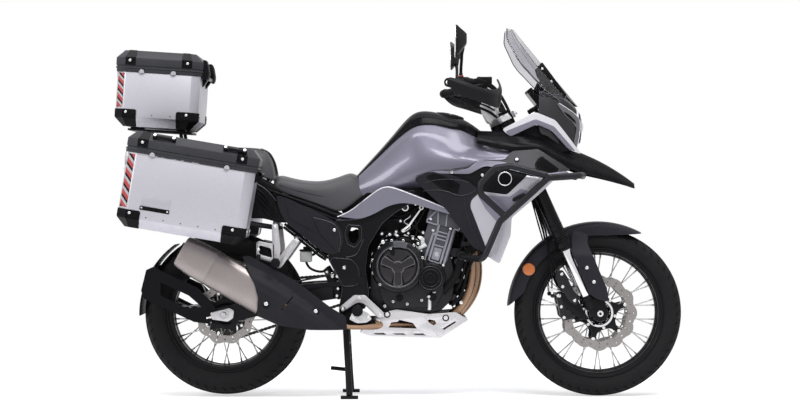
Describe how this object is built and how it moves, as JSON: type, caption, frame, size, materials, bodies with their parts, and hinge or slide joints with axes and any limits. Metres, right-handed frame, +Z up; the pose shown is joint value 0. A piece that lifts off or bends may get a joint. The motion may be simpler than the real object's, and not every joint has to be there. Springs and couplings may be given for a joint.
{
  "type": "adventure touring motorcycle",
  "caption": "Adventure motorcycle with a long beak, tall screen, wire-spoked wheels, crash bars and hinged alloy luggage, standing upright on its centre stand.",
  "frame": {"origin": "on the ground, on the centre plane, midway along the motorcycle's length", "axes": "+X forward, +Y to the rider's left, +Z up"},
  "size_m": [2.2128, 0.968, 1.443],
  "materials": {
    "tyre_rubber": "matte",
    "rim_black": "satin black rims and hubs with bright spokes",
    "disc_steel": "ground steel",
    "fork_black": "black anodised",
    "slider_steel": "polished tube with black feet",
    "yoke_silver": "satin",
    "bar_black": "satin black",
    "soft_black": "grained",
    "mirror_black": "semi-gloss",
    "caliper_metal": "anodised",
    "hose_black": "matte",
    "frame_black": "satin black paint",
    "engine_black": "satin black paint",
    "engine_cover": "satin bronze grey",
    "header_bronze": "heat-tinted steel",
    "muffler_steel": "brushed",
    "guard_black": "satin",
    "bright_alloy": "brushed",
    "radiator_black": "matte",
    "shock_metal": "satin",
    "chain_steel": "oiled",
    "tank_grey": "metallic paint",
    "gloss_black": "gloss black paint",
    "trim_grey": "metallic paint",
    "seat_cover": "grained black",
    "shroud_grey": "dark metallic paint",
    "wing_silver": "silver metallic paint",
    "lamp_clear": "clear lens",
    "screen_clear": "smoke tint",
    "crash_steel": "satin steel tube",
    "stand_black": "satin black",
    "case_alloy": "brushed",
    "lid_black": "grained",
    "rack_black": "powder coat"
  },
  "bodies": {
    "chassis": {"main_frame": "frame_black", "crankcase": "engine_black", "clutch_cover": "engine_cover", "cylinder_block": "engine_black", "airbox": "soft_black", "exhaust_pipes": "header_bronze", "muffler": "muffler_steel", "muffler_guard": "guard_black", "skid_plate": "bright_alloy", "radiator": "radiator_black", "swingarm": "frame_black", "shock_absorber": "shock_metal", "drive_chain": "chain_steel", "rear_hugger": "soft_black", "rear_subframe": "frame_black", "fuel_tank": "tank_grey", "tank_cover": "gloss_black", "tank_trim": "trim_grey", "rear_seat": "seat_cover", "rider_seat": "seat_cover", "tail_unit": "soft_black", "side_panels": "soft_black", "shroud_upper": "shroud_grey", "shroud_inlay": "gloss_black", "shroud_wing": "wing_silver", "front_beak": "gloss_black", "nose_cowl": "gloss_black", "headlamp": "lamp_clear", "nose_trim": "wing_silver", "windscreen": "screen_clear", "instrument_panel": "soft_black", "crash_bars": "crash_steel", "footrests": "bright_alloy", "panniers": "case_alloy", "top_case": "case_alloy", "luggage_rack": "rack_black"},
    "steering": {"fork_tubes": "fork_black", "fork_sliders": "slider_steel", "fork_yokes": "yoke_silver", "handlebar": "bar_black", "hand_controls": "soft_black", "hand_guards": "soft_black", "mirrors": "mirror_black", "front_fender": "soft_black", "front_calipers": "caliper_metal", "brake_hoses": "hose_black"},
    "front_wheel": {"front_tyre": "tyre_rubber", "front_wire_wheel": "rim_black", "front_discs": "disc_steel"},
    "rear_wheel": {"rear_tyre": "tyre_rubber", "rear_wire_wheel": "rim_black", "rear_disc_and_sprocket": "disc_steel"},
    "side_stand": {"side_stand": "stand_black"},
    "centre_stand": {"centre_stand": "stand_black"},
    "top_case_lid": {"top_case_lid": "lid_black"},
    "right_pannier_lid": {"right_pannier_lid": "lid_black"},
    "left_pannier_lid": {"left_pannier_lid": "lid_black"}
  },
  "joints": [
    {"name": "steering", "type": "hinge", "parent": "chassis", "child": "steering", "pos_m": [0.43, 0, 0.972], "axis": [-0.4147, 0, 0.91], "range_deg": [-32, 32]},
    {"name": "front_wheel_spin", "type": "hinge", "parent": "steering", "child": "front_wheel", "pos_m": [0.78004, 0, 0.3293], "axis": [0, 1, 0], "continuous": true},
    {"name": "rear_wheel_spin", "type": "hinge", "parent": "chassis", "child": "rear_wheel", "pos_m": [-0.68396, 0, 0.3269], "axis": [0, 1, 0], "continuous": true},
    {"name": "side_stand_fold", "type": "hinge", "parent": "chassis", "child": "side_stand", "pos_m": [-0.06, 0.158, 0.296], "axis": [0, -1, 0], "range_deg": [0, 108]},
    {"name": "centre_stand_fold", "type": "hinge", "parent": "chassis", "child": "centre_stand", "pos_m": [-0.214, 0, 0.322], "axis": [0, 1, 0], "range_deg": [0, 75]},
    {"name": "top_case_lid_hinge", "type": "hinge", "parent": "chassis", "child": "top_case_lid", "pos_m": [-0.75429, 0, 1.24841], "axis": [0, 1, 0], "range_deg": [0, 85]},
    {"name": "right_pannier_lid_hinge", "type": "hinge", "parent": "chassis", "child": "right_pannier_lid", "pos_m": [-0.52361, -0.3535, 0.86877], "axis": [0, 1, 0], "range_deg": [0, 75]},
    {"name": "left_pannier_lid_hinge", "type": "hinge", "parent": "chassis", "child": "left_pannier_lid", "pos_m": [-0.52361, 0.3535, 0.86877], "axis": [0, 1, 0], "range_deg": [0, 75]}
  ]
}
